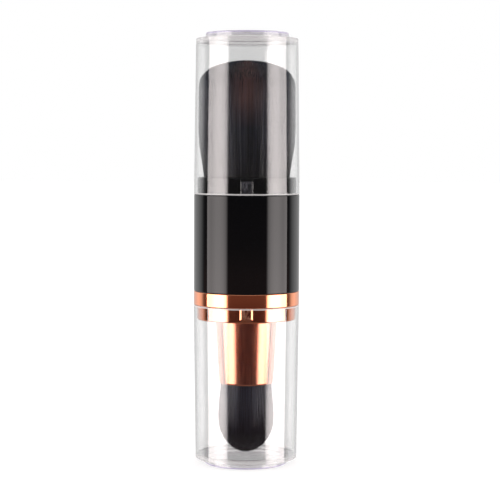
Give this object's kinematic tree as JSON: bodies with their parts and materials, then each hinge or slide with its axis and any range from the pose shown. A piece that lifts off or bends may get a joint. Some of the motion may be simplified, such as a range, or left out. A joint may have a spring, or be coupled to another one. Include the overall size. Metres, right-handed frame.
{
  "type": "double ended makeup brush",
  "caption": "Double ended makeup brush: a domed powder brush and a smaller detail brush on one black handle, each under a clear push-on cap.",
  "frame": {"origin": "middle of the foot of the lower cap, on the surface that the brush stands on", "axes": "+Z along the brush's axis, from the detail brush up to the powder brush; -Y is the side with the facing grip rib, seen in the picture"},
  "size_m": [0.03, 0.03, 0.1223],
  "materials": {
    "clear_polystyrene": "injection moulded, clear and glossy, faint grey tint",
    "gloss_black_abs": "injection moulded, piano black gloss",
    "rose_gold_plating": "ABS moulding with mirror rose gold plating, lightly scuffed ribs",
    "rose_gold_aluminium": "drawn tube, bright rose gold anodised",
    "plain_aluminium": "drawn cup, bright, hidden in the collar",
    "black_hair": "dense straight synthetic filament, black with a soft satin sheen",
    "cured_resin": "cured epoxy, hidden"
  },
  "bodies": {
    "brush": {"handle_sleeve": "gloss_black_abs", "upper_collar": "gloss_black_abs", "lower_collar": "rose_gold_plating", "ferrule": "rose_gold_aluminium", "powder_cup": "plain_aluminium", "powder_resin": "cured_resin", "powder_bristles": "black_hair", "detail_resin": "cured_resin", "detail_bristles": "black_hair"},
    "top_cap": {"upper_cap": "clear_polystyrene"},
    "bottom_cap": {"lower_cap": "clear_polystyrene"}
  },
  "joints": [
    {"name": "top_cap_pull", "type": "slide", "parent": "brush", "child": "top_cap", "axis": [0, 0, 1], "range_m": [0, 0.05]},
    {"name": "bottom_cap_pull", "type": "slide", "parent": "brush", "child": "bottom_cap", "axis": [0, 0, -1], "range_m": [0, 0.05]}
  ]
}
